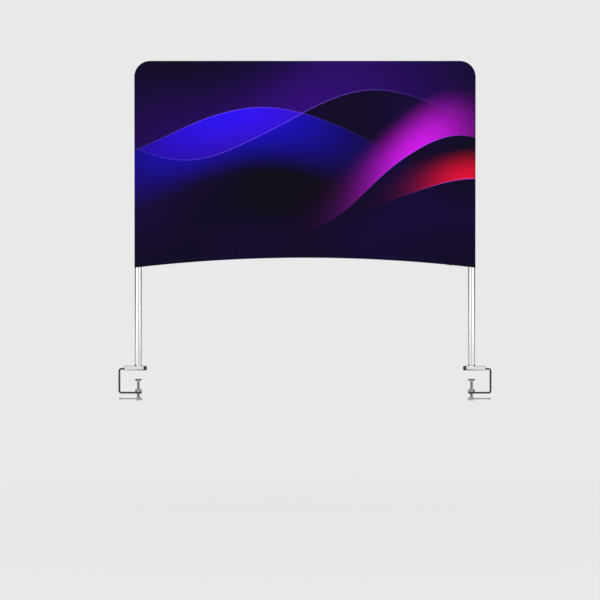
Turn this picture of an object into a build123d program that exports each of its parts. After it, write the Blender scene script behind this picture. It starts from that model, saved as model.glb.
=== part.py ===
from build123d import *
import math
import os

# A fabric banner on a bent tube frame that stands on two screw clamps.
# Millimetres, Z up. Z = 0 is the surface that the clamps' jaws grip from above.
# X runs along the banner, Y through it, and the origin lies midway between the poles.

# Tube frame
pole_spacing = 1650.0         # between the axes of the two poles
frame_height = 1511.5         # from Z = 0 to the axis of the top tube
tube_diameter = 35.0
tube_wall = 1.6
bend_radius = 60.5            # of the tube's axis at both top corners
corner_leg = 150.0            # straight run on each side of a bend
pole_joint_height = 790.0     # where lower and upper poles butt together
coupler_length = 120.0
coupler_wall = 1.5
slip_clearance = 0.1          # radial, sleeve in tube

# Snap buttons, rivets and springs in the couplers
button_diameter = 8.0
button_stand = 3.0            # how far the pin stands out of the tube
button_dome = 1.5
button_offset = 30.0          # from the joint to the button, and back to the rivet
flange_diameter = 11.0
flange_thickness = 1.0
flange_clearance = 0.15
hole_clearance = 0.1          # radial, pins and rivets in their holes
rivet_diameter = 4.8
rivet_head_diameter = 9.5
rivet_head_height = 1.3
rivet_head_taper = 30.0       # degrees
spring_width = 7.0
spring_thickness = 0.6
spring_leg = 34.0
spring_clearance = 0.05

# Fabric sleeve
fabric_thickness = 1.0
fabric_clearance = 0.3        # between fabric and tube
hem_corner_height = 510.0     # of the hem at the pole axes
hem_rise = 47.0               # how far the middle of the hem stands above its ends
gather_height = 250.0         # over which the two panels draw together above the hem
gather_end = 86.0             # from the pole axis to the end of the zip

# Zip in the hem
coil_width = 3.0              # both rows together
row_gap = 0.6                 # between the two rows
coil_height = 2.2
coil_lift = 1.2               # of the coil's underside above the hem
tape_thickness = 0.6
tape_width = 2.7
tape_clearance = 0.3          # between tape and panel
stop_length = 4.0
slider_length = 13.0
slider_width = 8.0
slider_plate = 1.5
slider_clearance = 0.35
slider_corner = 1.5
slider_web = 0.4              # rib between the rows that joins the slider's plates
bridge_height = 3.6
bridge_width = 2.0
bridge_bar = 1.2
bridge_inset = 2.0            # from each end of the slider
pull_length = 22.0
pull_width = 6.4
pull_thickness = 1.2
pull_window = 4.6
pull_corner = 1.2

# Clamp frame, a bent flat bar
bar_width = 32.0
bar_thickness = 8.0
bar_corner = 14.0             # outer radius of both bends
throat_depth = 90.0           # pole axis to the inside of the spine
throat_height = 110.0         # jaw face to the top of the lower arm, less the pad
lower_tip = 17.0              # lower arm past the screw axis
lower_tip_flat = 4.0          # left straight between its rounded corners
pad_thickness = 3.0           # rubber under the upper arm
pad_inset = 1.0
pad_corner = 6.0
grip_thickness = 43.0         # what the clamp holds at rest

# Foot on the upper arm
foot_inner_reach = 26.5       # pole axis to the inner end of the metal shoe
foot_outer_reach = 69.5       # pole axis to its outer end
foot_width = 48.0
foot_top = 22.0
foot_corner = 11.0            # radius of the ends seen from above
foot_edge = 8.0               # radius along the top edge
foot_under = 2.5              # and along the lower one
skirt_inner = 4.6             # height of the skirt's lower edge at its inner end
skirt_outer = 0.6             # and at its outer end
arm_clearance = 0.2           # between the arm and the shoe's channel
cap_length = 15.5
cap_wall = 2.5
peg_diameter = 5.0
peg_length = 8.0
peg_spacing = 18.0
socket_floor = 2.8            # metal between the channel and the spigot's socket

# Spigot, collar and fixings
spigot_stand = 107.0          # above the foot
spigot_wall = 2.0
spigot_plug = 20.0            # solid lower end
spigot_chamfer = 1.2
collar_diameter = 44.0
collar_height = 7.0           # above the foot
collar_seat = 3.0             # sunk into the foot
collar_rim = 1.0              # straight edge at the foot of the flare
collar_waist_height = 3.2     # where the flare is nearly as slim as the tube
collar_waist_step = 1.6
bolt_diameter = 8.0
bolt_length = 26.0
bolt_head_diameter = 15.0
bolt_head_height = 4.0
shoe_screw_diameter = 5.0
shoe_screw_length = 16.0
shoe_screw_head = 9.0
shoe_screw_head_height = 2.4
shoe_screw_first = 30.0       # from the pole axis
shoe_screw_pitch = 22.0
drive_width = 4.0             # hexagon recess in both kinds of screw
drive_depth = 2.0
tip_clearance = 0.5           # beyond a screw or a peg in its blind hole

# Clamping screw, nut, pad and sliding bar
screw_diameter = 14.0
screw_tip_diameter = 10.0
screw_tip_chamfer = 1.5
screw_neck_diameter = 7.0
screw_head_diameter = 20.0
screw_head_height = 18.0
screw_head_chamfer = 1.2
screw_head_top = 132.0        # below Z = 0
thread_depth = 1.0
running_clearance = 0.06      # radial, screw in nut and bar in screw
nut_diameter = 28.0
nut_height = 14.0
nut_spigot_diameter = 22.0
nut_clearance = 0.1
swivel_diameter = 34.0
swivel_neck_step = 4.0        # how much smaller its underside is, all round
swivel_height = 8.0
swivel_socket_clearance = 0.1
swivel_roof = 2.0
swivel_lip = 1.6
swivel_face_thickness = 3.0
swivel_edge = 1.5
swivel_face_edge = 0.9
tommy_diameter = 6.0
tommy_reach = 94.0            # outer end of the bar from the screw axis at rest
tommy_knob_diameter = 10.0
tommy_knob_length = 8.0
tommy_stop_gap = 0.5          # knob to screw head at the end of the slide
tommy_seat_clearance = 0.02   # radial, bar in its knobs

pole_x = pole_spacing / 2
tube_radius = tube_diameter / 2
tube_bore = tube_radius - tube_wall
coupler_radius = tube_bore - slip_clearance
coupler_bore = coupler_radius - coupler_wall
shoulder_height = frame_height - bend_radius - corner_leg
top_joint_x = pole_x - bend_radius - corner_leg
pole_foot = foot_top + collar_height
button_hole = button_diameter / 2 + hole_clearance
rivet_hole = rivet_diameter / 2 + hole_clearance
flange_top = math.sqrt(coupler_bore ** 2 - (flange_diameter / 2) ** 2) - flange_clearance
button_tip = tube_radius + button_stand

fabric_inner = tube_radius + fabric_clearance
fabric_outer = fabric_inner + fabric_thickness
hem_radius = (pole_x ** 2 + hem_rise ** 2) / (2 * hem_rise)
hem_middle = hem_corner_height + hem_rise
hem_center = hem_middle - hem_radius
fold_height = hem_middle + gather_height
zip_half_span = pole_x - gather_end
zip_half_angle = math.asin(zip_half_span / hem_radius)
zip_inner = coil_width / 2 + tape_width + tape_clearance

arm_bottom = pad_thickness
arm_top = arm_bottom + bar_thickness
lower_arm_top = arm_bottom - throat_height
lower_arm_bottom = lower_arm_top - bar_thickness
spine_outer = throat_depth + bar_thickness
arm_inner_tip = foot_inner_reach + cap_length - cap_wall
channel_top = arm_top + arm_clearance
socket_bottom = channel_top + socket_floor
spigot_radius = coupler_radius
spigot_top = foot_top + spigot_stand
screw_radius = screw_diameter / 2
swivel_top = -grip_thickness - swivel_face_thickness
tip_top = swivel_top - swivel_roof
swivel_bottom = swivel_top - swivel_height
neck_top = swivel_bottom + swivel_lip
screw_head_bottom = screw_head_top + screw_head_height
tommy_height = -(screw_head_top + screw_head_height / 2)

sides = {"left": -1, "right": 1}

os.makedirs("parts", exist_ok=True)


def save(piece, name):
    piece.label = name
    export_step(piece, f"parts/{name}.step")


def inner_direction(side):
    return (-side, 0, 0)


# Every butt joint of the frame: place, direction to the sleeved tube, inward direction
tube_joints = {
    "left_pole": ((-pole_x, 0, pole_joint_height), (0, 0, 1), inner_direction(-1)),
    "right_pole": ((pole_x, 0, pole_joint_height), (0, 0, 1), inner_direction(1)),
    "left_shoulder": ((-pole_x, 0, shoulder_height), (0, 0, 1), inner_direction(-1)),
    "right_shoulder": ((pole_x, 0, shoulder_height), (0, 0, 1), inner_direction(1)),
    "left_top": ((-top_joint_x, 0, frame_height), (1, 0, 0), (0, 0, -1)),
    "right_top": ((top_joint_x, 0, frame_height), (-1, 0, 0), (0, 0, -1)),
    "center_top": ((0, 0, frame_height), (1, 0, 0), (0, 0, -1)),
}


def joint_plane(joint, along_offset=0.0):
    """Plane on the tube's axis: X along the tube, Z towards the frame's inside."""
    place, along, inward = tube_joints[joint]
    origin = Vector(*place) + Vector(*along) * along_offset
    return Plane(origin=origin, x_dir=along, z_dir=inward)


def drill(joint):
    """Cut the button hole and the rivet hole of one joint through the near wall."""
    for offset_along, radius in ((button_offset, button_hole), (-button_offset, rivet_hole)):
        with BuildSketch(joint_plane(joint, offset_along)) as hole:
            Circle(radius)
        extrude(hole.sketch, amount=tube_diameter, mode=Mode.SUBTRACT)


def ring(outer, inner):
    Circle(outer)
    Circle(inner, mode=Mode.SUBTRACT)


# Straight tubes
def straight_tube(start, end, joints):
    direction = Vector(*end) - Vector(*start)
    with BuildPart() as tube:
        with BuildSketch(Plane(origin=start, z_dir=direction)):
            ring(tube_radius, tube_bore)
        extrude(amount=direction.length)
        for joint in joints:
            drill(joint)
    return tube.part


for side_name, side in sides.items():
    foot_end = (side * pole_x, 0, pole_foot)
    joint_end = (side * pole_x, 0, pole_joint_height)
    shoulder_end = (side * pole_x, 0, shoulder_height)
    top_end = (side * top_joint_x, 0, frame_height)
    top_joints = [f"{side_name}_top", "center_top"]
    save(straight_tube(foot_end, joint_end, [f"{side_name}_pole"]), f"{side_name}_lower_pole")
    save(
        straight_tube(joint_end, shoulder_end, [f"{side_name}_pole", f"{side_name}_shoulder"]),
        f"{side_name}_upper_pole",
    )
    save(straight_tube(top_end, (0, 0, frame_height), top_joints), f"{side_name}_top_tube")


# Bent corner tubes
def corner_tube(side):
    with BuildPart() as tube:
        with BuildLine() as run:
            bend_start = (side * pole_x, 0, frame_height - bend_radius)
            bend_end = (side * (pole_x - bend_radius), 0, frame_height)
            bend_middle = (
                side * (pole_x - bend_radius * (1 - math.cos(math.pi / 4))),
                0,
                frame_height - bend_radius * (1 - math.sin(math.pi / 4)),
            )
            Line((side * pole_x, 0, shoulder_height), bend_start)
            ThreePointArc(bend_start, bend_middle, bend_end)
            Line(bend_end, (side * top_joint_x, 0, frame_height))
        with BuildSketch(Plane.XY.offset(shoulder_height)):
            with Locations((side * pole_x, 0)):
                ring(tube_radius, tube_bore)
        sweep(path=run.wires()[0])
        side_name = "left" if side < 0 else "right"
        drill(f"{side_name}_shoulder")
        drill(f"{side_name}_top")
    return tube.part


for side_name, side in sides.items():
    save(corner_tube(side), f"{side_name}_corner_tube")


# Couplers, one sleeve inside each butt joint
def coupler(joint):
    place, along, _ = tube_joints[joint]
    start = Vector(*place) - Vector(*along) * (coupler_length / 2)
    with BuildPart() as sleeve:
        with BuildSketch(Plane(origin=start, z_dir=along)):
            ring(coupler_radius, coupler_bore)
        extrude(amount=coupler_length)
        drill(joint)
    return sleeve.part


# Snap buttons, a domed pin with a flange behind the sleeve's wall
def snap_button(joint):
    base = joint_plane(joint, button_offset)
    with BuildPart() as button:
        with BuildSketch(base.offset(flange_top - flange_thickness)):
            Circle(flange_diameter / 2)
        extrude(amount=flange_thickness)
        with BuildSketch(base.offset(flange_top)):
            Circle(button_diameter / 2)
        extrude(amount=button_tip - flange_top)
        tip_edge = button.faces().sort_by(Axis(base.origin, base.z_dir))[-1].edges()
        fillet(tip_edge, radius=button_dome)
    return button.part


for joint in tube_joints:
    save(coupler(joint), f"{joint}_coupler")
    save(snap_button(joint), f"{joint}_button")


# Leaf springs, a bent strip behind each button
with BuildPart() as button_springs:
    leg_top = flange_top - flange_thickness - spring_clearance
    leg_mid = leg_top - spring_thickness / 2
    wall_level = math.sqrt(coupler_bore ** 2 - (spring_width / 2) ** 2) - spring_clearance
    foot_mid = -(wall_level - spring_thickness / 2)
    bend_mid = (leg_mid - foot_mid) / 2
    leg_end = flange_diameter / 2
    for joint in tube_joints:
        base = joint_plane(joint, button_offset)
        profile_plane = Plane(
            origin=base.origin, x_dir=base.x_dir, z_dir=base.x_dir.cross(base.z_dir)
        )
        with BuildSketch(profile_plane):
            half = spring_thickness / 2
            bend_x = leg_end - spring_leg
            with BuildLine():
                Line((leg_end, leg_mid + half), (bend_x, leg_mid + half))
                ThreePointArc(
                    (bend_x, leg_mid + half),
                    (bend_x - bend_mid - half, leg_mid - bend_mid),
                    (bend_x, foot_mid - half),
                )
                Line((bend_x, foot_mid - half), (leg_end, foot_mid - half))
                Line((leg_end, foot_mid - half), (leg_end, foot_mid + half))
                Line((leg_end, foot_mid + half), (bend_x, foot_mid + half))
                ThreePointArc(
                    (bend_x, foot_mid + half),
                    (bend_x - bend_mid + half, leg_mid - bend_mid),
                    (bend_x, leg_mid - half),
                )
                Line((bend_x, leg_mid - half), (leg_end, leg_mid - half))
                Line((leg_end, leg_mid - half), (leg_end, leg_mid + half))
            make_face()
        extrude(amount=spring_width / 2, both=True)
save(button_springs.part, "button_springs")


# Rivets that hold each coupler in its fixed tube
with BuildPart() as coupler_rivets:
    for joint in tube_joints:
        base = joint_plane(joint, -button_offset)
        with BuildSketch(base.offset(coupler_bore - rivet_head_height)):
            Circle(rivet_diameter / 2)
        extrude(amount=tube_radius + rivet_head_height / 2 - coupler_bore + rivet_head_height)
        with BuildSketch(base.offset(tube_radius + slip_clearance)):
            Circle(rivet_head_diameter / 2)
        extrude(amount=rivet_head_height, taper=rivet_head_taper)
save(coupler_rivets.part, "coupler_rivets")


# Fabric panels, each wrapped a quarter round the tubes and drawn in towards the hem
def inner_level(x):
    """Distance of a panel's inner face from the middle plane, below the zip's level."""
    if abs(x) > zip_half_span:
        return fabric_inner
    hem_here = hem_center + math.sqrt(hem_radius ** 2 - x ** 2)
    slope = (fabric_inner - zip_inner) / (fold_height - hem_here)
    return fabric_inner - slope * (fold_height - cut_height)


cut_height = hem_corner_height - tube_diameter


def fabric_panel(face):
    """face is -1 for the front panel and 1 for the back one."""
    bend_top = frame_height - bend_radius
    corner_x = pole_x - bend_radius
    mid_in = bend_radius * math.sqrt(0.5)
    with BuildPart() as panel:
        # Quarter wrap that follows the tubes
        with BuildLine() as run:
            Line((-pole_x, 0, cut_height), (-pole_x, 0, bend_top))
            ThreePointArc(
                (-pole_x, 0, bend_top),
                (-corner_x - mid_in, 0, bend_top + mid_in),
                (-corner_x, 0, frame_height),
            )
            Line((-corner_x, 0, frame_height), (corner_x, 0, frame_height))
            ThreePointArc(
                (corner_x, 0, frame_height),
                (corner_x + mid_in, 0, bend_top + mid_in),
                (pole_x, 0, bend_top),
            )
            Line((pole_x, 0, bend_top), (pole_x, 0, cut_height))
        with BuildSketch(Plane.XY.offset(cut_height)):
            with BuildLine():
                CenterArc((-pole_x, 0), fabric_outer, 180, -face * 90)
                Line((-pole_x, face * fabric_outer), (-pole_x, face * fabric_inner))
                CenterArc((-pole_x, 0), fabric_inner, 180, -face * 90)
                Line((-pole_x - fabric_inner, 0), (-pole_x - fabric_outer, 0))
            make_face()
        sweep(path=run.wires()[0])
        # Flat sheet between the tubes
        near_level = fabric_inner if face < 0 else -fabric_outer
        with BuildSketch(Plane.XZ.offset(near_level)):
            with BuildLine():
                Line((-pole_x, fold_height), (-pole_x, bend_top))
                ThreePointArc(
                    (-pole_x, bend_top),
                    (-corner_x - mid_in, bend_top + mid_in),
                    (-corner_x, frame_height),
                )
                Line((-corner_x, frame_height), (corner_x, frame_height))
                ThreePointArc(
                    (corner_x, frame_height),
                    (corner_x + mid_in, bend_top + mid_in),
                    (pole_x, bend_top),
                )
                Line((pole_x, bend_top), (pole_x, fold_height))
                Line((pole_x, fold_height), (-pole_x, fold_height))
            make_face()
        extrude(amount=fabric_thickness)
        # Lower part that draws in to the zip
        stations = [-pole_x, -zip_half_span, -zip_half_span / 2, 0]
        stations += [-x for x in reversed(stations[:-1])]
        for x in stations:
            low = inner_level(x) if abs(x) < pole_x else fabric_inner
            with BuildSketch(Plane.YZ.offset(x)):
                with BuildLine():
                    Polyline(
                        (face * fabric_inner, fold_height),
                        (face * fabric_outer, fold_height),
                        (face * (low + fabric_thickness), cut_height),
                        (face * low, cut_height),
                        close=True,
                    )
                make_face()
        loft(ruled=True)
        # Arched hem
        with BuildSketch(Plane.XZ.offset(-tube_diameter)):
            with Locations((0, hem_center)):
                Circle(hem_radius)
        extrude(amount=2 * tube_diameter, mode=Mode.SUBTRACT)
    return panel.part


save(fabric_panel(-1), "front_panel")
save(fabric_panel(1), "back_panel")


# Zip, on arcs about the hem's own center
hem_axis = Axis((0, 0, hem_center), (0, 1, 0))


def hem_plane(angle, lift=0.0):
    """Plane across the hem at an angle from the middle: X is through the banner, Y is up."""
    radius = hem_radius + lift
    origin = (radius * math.sin(angle), 0, hem_center + radius * math.cos(angle))
    return Plane(origin=origin, x_dir=(0, 1, 0), z_dir=(math.cos(angle), 0, -math.sin(angle)))


def hem_strip(middle, width, height, half_angle):
    """A strip of rectangular section that follows the hem."""
    with BuildSketch(hem_plane(-half_angle)) as section:
        with Locations(middle):
            Rectangle(width, height)
    revolve(section.sketch, axis=hem_axis, revolution_arc=math.degrees(2 * half_angle))


coil_middle = coil_lift + coil_height / 2
tape_middle = coil_width / 2 + tape_width / 2
stop_angle = stop_length / hem_radius

row_width = (coil_width - row_gap) / 2
row_middle = (coil_width - row_width) / 2

with BuildPart() as zip_coil:
    for face in (-1, 1):
        row = (face * row_middle, coil_middle)
        hem_strip(row, row_width, coil_height, zip_half_angle - 2 * stop_angle)
save(zip_coil.part, "zip_coil")

for face_name, face in (("front", -1), ("back", 1)):
    with BuildPart() as zip_tape:
        hem_strip((face * tape_middle, coil_middle), tape_width, tape_thickness, zip_half_angle)
    save(zip_tape.part, f"zip_tape_{face_name}")

with BuildPart() as zip_stops:
    for end in (-1, 1):
        stop_start = end * (zip_half_angle - 1.5 * stop_angle)
        with BuildSketch(hem_plane(stop_start)):
            with Locations((0, coil_middle)):
                Rectangle(coil_width, coil_height)
        extrude(amount=stop_length / 2, both=True)
save(zip_stops.part, "zip_stops")

# Slider, a hollow shoe round the coil with a bridge below it
slider_angle = zip_half_angle - (slider_length / 2 + 3 * stop_length) / hem_radius
slider_plane = hem_plane(slider_angle)
slot_half = coil_height / 2 + slider_clearance
slider_top = coil_middle + slot_half + slider_plate
slider_bottom = coil_middle - slot_half - slider_plate
bridge_length = slider_length - 2 * bridge_inset
bridge_window = bridge_height - bridge_bar

with BuildPart() as zip_slider:
    with BuildSketch(slider_plane):
        with Locations((0, (slider_top + slider_bottom) / 2)):
            Rectangle(slider_width, slider_top - slider_bottom)
    extrude(amount=slider_length / 2, both=True)
    upright = Axis(slider_plane.origin, slider_plane.y_dir)
    fillet(zip_slider.edges().filter_by(upright), radius=slider_corner)
    with BuildSketch(slider_plane):
        with Locations((0, coil_middle)):
            Rectangle(coil_width + 2 * slider_clearance, 2 * slot_half)
            Rectangle(2 * slider_width, tape_thickness + 2 * slider_clearance)
    extrude(amount=slider_length, both=True, mode=Mode.SUBTRACT)
    # Web between the rows
    with BuildSketch(slider_plane):
        with Locations((0, coil_middle)):
            Rectangle(slider_web, 2 * slot_half)
    extrude(amount=slider_length / 4, both=True)
    # Bridge for the pull
    side_plane = Plane(
        origin=slider_plane.origin, x_dir=slider_plane.z_dir, z_dir=slider_plane.x_dir * -1
    )
    with BuildSketch(side_plane):
        with Locations((0, slider_bottom - bridge_height / 2)):
            Rectangle(bridge_length, bridge_height)
        with Locations((0, slider_bottom - bridge_window / 2)):
            Rectangle(bridge_length - 2 * bridge_bar, bridge_window, mode=Mode.SUBTRACT)
    extrude(amount=bridge_width / 2, both=True)
save(zip_slider.part, "zip_slider")

# Pull tab, whose end bar lies inside the bridge
pull_center = slider_bottom - bridge_window / 2
with BuildPart() as zip_pull:
    bar_half = pull_thickness / 2
    pull_plane = Plane(
        origin=slider_plane.origin + slider_plane.y_dir * (pull_center - bar_half),
        x_dir=slider_plane.z_dir,
        z_dir=slider_plane.y_dir,
    )
    with BuildSketch(pull_plane):
        with Locations((bar_half - pull_length / 2, 0)):
            RectangleRounded(pull_length, pull_width, pull_corner)
        with Locations((-bar_half - pull_window / 2, 0)):
            Rectangle(pull_window, bridge_width + 2 * slider_clearance, mode=Mode.SUBTRACT)
    extrude(amount=pull_thickness)
save(zip_pull.part, "zip_pull")


# Clamp frames
def vertices_near(sketch, points):
    """The corners of a sketch that lie closest to the given points in its own plane."""
    return [sketch.vertices().sort_by_distance(Vector(*p, 0))[0] for p in points]


def clamp_frame(side):
    def at(reach):
        return side * (pole_x + reach)

    tip = at(-arm_inner_tip)
    low_tip = at(-lower_tip)
    outer = at(spine_outer)
    inner = at(throat_depth)
    inner_bend = bar_corner - bar_thickness
    with BuildPart() as frame:
        with BuildSketch(Plane.XZ) as profile:
            with BuildLine():
                Polyline(
                    (tip, arm_bottom),
                    (tip, arm_top),
                    (outer, arm_top),
                    (outer, lower_arm_bottom),
                    (low_tip, lower_arm_bottom),
                    (low_tip, lower_arm_top),
                    (inner, lower_arm_top),
                    (inner, arm_bottom),
                    close=True,
                )
            make_face()
            fillet(
                vertices_near(profile, [(outer, arm_top), (outer, lower_arm_bottom)]),
                radius=bar_corner,
            )
            fillet(
                vertices_near(profile, [(inner, lower_arm_top), (inner, arm_bottom)]),
                radius=inner_bend,
            )
        extrude(amount=bar_width / 2, both=True)
        tip_edges = frame.edges().filter_by(Axis.Z).sort_by_distance((low_tip, 0, lower_arm_top))
        fillet(tip_edges[:2], radius=(bar_width - lower_tip_flat) / 2)
        # Holes for the nut, the spigot's bolt and the shoe's screws
        with BuildSketch(Plane.XY.offset(lower_arm_bottom)):
            with Locations((at(0), 0)):
                Circle(nut_spigot_diameter / 2 + nut_clearance)
        extrude(amount=bar_thickness, mode=Mode.SUBTRACT)
        countersink(at(0), bolt_diameter, bolt_head_diameter, bolt_head_height)
        for reach in (shoe_screw_first, shoe_screw_first + shoe_screw_pitch):
            countersink(at(reach), shoe_screw_diameter, shoe_screw_head, shoe_screw_head_height)
    return frame.part


def countersink(x, diameter, head_diameter, head_height):
    """A hole through the upper arm, widened from below for a flat head."""
    with BuildSketch(Plane.XY.offset(arm_bottom)) as hole:
        with Locations((x, 0)):
            Circle(diameter / 2 + hole_clearance)
    extrude(hole.sketch, amount=bar_thickness, mode=Mode.SUBTRACT)
    with BuildSketch(Plane.XZ) as seat:
        with BuildLine():
            Polyline(
                (x, arm_bottom),
                (x + head_diameter / 2 + hole_clearance, arm_bottom),
                (x + diameter / 2 + hole_clearance, arm_bottom + head_height),
                (x, arm_bottom + head_height),
                close=True,
            )
        make_face()
    revolve(seat.sketch, axis=Axis((x, 0, 0), (0, 0, 1)), mode=Mode.SUBTRACT)


def flat_head_screw(x, diameter, length, head_diameter, head_height):
    """A flat-head screw that points up through the arm from below."""
    with BuildSketch(Plane.XZ) as profile:
        with BuildLine():
            Polyline(
                (x, arm_bottom),
                (x + head_diameter / 2, arm_bottom),
                (x + diameter / 2, arm_bottom + head_height),
                (x + diameter / 2, arm_bottom + length),
                (x, arm_bottom + length),
                close=True,
            )
        make_face()
    revolve(profile.sketch, axis=Axis((x, 0, 0), (0, 0, 1)))
    with BuildSketch(Plane.XY.offset(arm_bottom)) as drive:
        with Locations((x, 0)):
            RegularPolygon(drive_width / 2, 6, major_radius=False)
    extrude(drive.sketch, amount=drive_depth, mode=Mode.SUBTRACT)


def round_end(piece, end, cut_end):
    """Round a bar's free end seen from above, then its long edges up to the cut end."""
    uprights = piece.edges().filter_by(Axis.Z)
    fillet(uprights.filter_by(lambda e: abs(e.center().X - end) < 0.01), radius=foot_corner)
    for face, radius in ((-1, foot_edge), (0, foot_under)):
        edges = piece.faces().sort_by(Axis.Z)[face].edges()
        fillet(edges.filter_by(lambda e: abs(e.center().X - cut_end) > 0.01), radius=radius)


# Metal shoe over the upper arm
def foot_shoe(side):
    def at(reach):
        return side * (pole_x + reach)

    inner = at(-foot_inner_reach)
    outer = at(foot_outer_reach)
    with BuildPart() as shoe:
        with BuildSketch(Plane.XZ):
            with BuildLine():
                Polyline(
                    (inner, skirt_inner),
                    (inner, foot_top),
                    (outer, foot_top),
                    (outer, skirt_outer),
                    close=True,
                )
            make_face()
        extrude(amount=foot_width / 2, both=True)
        round_end(shoe, outer, inner)
        # Channel for the arm, open at both ends
        with BuildSketch(Plane.XY):
            with Locations((at((foot_outer_reach - foot_inner_reach) / 2), 0)):
                Rectangle(2 * foot_outer_reach + foot_width, bar_width + 2 * arm_clearance)
        extrude(amount=channel_top, mode=Mode.SUBTRACT)
        with BuildSketch(Plane.XY.offset(socket_bottom)):
            with Locations((at(0), 0)):
                Circle(spigot_radius + hole_clearance)
        extrude(amount=foot_top, mode=Mode.SUBTRACT)
        with BuildSketch(Plane.XY.offset(foot_top - collar_seat)):
            with Locations((at(0), 0)):
                Circle(collar_diameter / 2 + hole_clearance)
        extrude(amount=foot_top, mode=Mode.SUBTRACT)
        with BuildSketch(Plane.XY):
            with Locations((at(0), 0)):
                Circle(bolt_diameter / 2 + hole_clearance)
            screw_hole = shoe_screw_diameter / 2 + hole_clearance
            with Locations((at(shoe_screw_first), 0)):
                Circle(screw_hole)
            with Locations((at(shoe_screw_first + shoe_screw_pitch), 0)):
                Circle(screw_hole)
        extrude(amount=arm_bottom + shoe_screw_length + tip_clearance, mode=Mode.SUBTRACT)
        # Holes for the end cap's pegs
        peg_level = (channel_top + foot_top) / 2
        with BuildSketch(Plane(origin=(inner, 0, peg_level), z_dir=(side, 0, 0))):
            with Locations((0, peg_spacing / 2), (0, -peg_spacing / 2)):
                Circle(peg_diameter / 2 + hole_clearance)
        extrude(amount=peg_length + tip_clearance, mode=Mode.SUBTRACT)
    return shoe.part


# Moulded cap over the inner end of the arm
def foot_cap(side):
    def at(reach):
        return side * (pole_x + reach)

    inner = at(-foot_inner_reach - cap_length)
    outer = at(-foot_inner_reach)
    with BuildPart() as cap:
        with BuildSketch(Plane.XZ):
            with BuildLine():
                Polyline(
                    (inner, skirt_inner),
                    (inner, foot_top),
                    (outer, foot_top),
                    (outer, skirt_inner),
                    close=True,
                )
            make_face()
        extrude(amount=foot_width / 2, both=True)
        round_end(cap, inner, outer)
        # Pocket for the arm's tip
        pocket_middle = (at(-foot_inner_reach) + at(-arm_inner_tip)) / 2
        with BuildSketch(Plane.XY):
            with Locations((pocket_middle, 0)):
                Rectangle(
                    cap_length - cap_wall + 2 * arm_clearance, bar_width + 2 * arm_clearance
                )
        extrude(amount=channel_top, mode=Mode.SUBTRACT)
        peg_level = (channel_top + foot_top) / 2
        with BuildSketch(Plane(origin=(outer, 0, peg_level), z_dir=(side, 0, 0))):
            with Locations((0, peg_spacing / 2), (0, -peg_spacing / 2)):
                Circle(peg_diameter / 2)
        extrude(amount=peg_length)
    return cap.part


# Turned spigot that carries the pole
def spigot(side):
    with BuildPart() as post:
        with BuildSketch(Plane.XY.offset(socket_bottom)):
            with Locations((side * pole_x, 0)):
                Circle(spigot_radius)
        extrude(amount=spigot_top - socket_bottom)
        top_edge = post.faces().sort_by(Axis.Z)[-1].edges()
        chamfer(top_edge, length=spigot_chamfer)
        with BuildSketch(Plane.XY.offset(socket_bottom + spigot_plug)):
            with Locations((side * pole_x, 0)):
                Circle(spigot_radius - spigot_wall)
        extrude(amount=spigot_stand + foot_top, mode=Mode.SUBTRACT)
        with BuildSketch(Plane.XY.offset(socket_bottom)):
            with Locations((side * pole_x, 0)):
                Circle(bolt_diameter / 2 + hole_clearance)
        bolt_depth = arm_bottom + bolt_length + tip_clearance
        extrude(amount=bolt_depth - socket_bottom, mode=Mode.SUBTRACT)
    return post.part


# Flared collar that the pole's end stands on
def base_collar(side):
    x = side * pole_x
    bore = spigot_radius + hole_clearance
    with BuildPart() as collar:
        with BuildSketch(Plane.XZ):
            with BuildLine():
                seat = foot_top - collar_seat
                rim = foot_top + collar_rim
                Line((x + bore, seat), (x + collar_diameter / 2, seat))
                Line((x + collar_diameter / 2, seat), (x + collar_diameter / 2, rim))
                ThreePointArc(
                    (x + collar_diameter / 2, rim),
                    (x + tube_radius + collar_waist_step, foot_top + collar_waist_height),
                    (x + tube_radius, pole_foot),
                )
                Line((x + tube_radius, pole_foot), (x + bore, pole_foot))
                Line((x + bore, pole_foot), (x + bore, seat))
            make_face()
        revolve(axis=Axis((x, 0, 0), (0, 0, 1)))
    return collar.part


# Rubber strip under the upper arm
def jaw_pad(side):
    inner = pole_x - foot_inner_reach - cap_length + pad_inset
    outer = pole_x + foot_outer_reach - pad_inset
    with BuildPart() as pad:
        with BuildSketch(Plane.XY):
            with Locations((side * (inner + outer) / 2, 0)):
                RectangleRounded(outer - inner, bar_width - 2 * pad_inset, pad_corner)
        extrude(amount=pad_thickness)
    return pad.part


# Threaded bush in the lower arm
def clamp_nut(side):
    x = side * pole_x
    bore = screw_radius + running_clearance
    with BuildPart() as nut:
        with BuildSketch(Plane.XY.offset(lower_arm_top)):
            with Locations((x, 0)):
                RegularPolygon(nut_diameter / 2, 6, major_radius=False)
        extrude(amount=nut_height)
        with BuildSketch(Plane.XY.offset(lower_arm_bottom)):
            with Locations((x, 0)):
                Circle(nut_spigot_diameter / 2)
        extrude(amount=bar_thickness)
        with BuildSketch(Plane.XY.offset(lower_arm_bottom)):
            with Locations((x, 0)):
                Circle(bore)
        extrude(amount=bar_thickness + nut_height, mode=Mode.SUBTRACT)
    return nut.part


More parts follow.
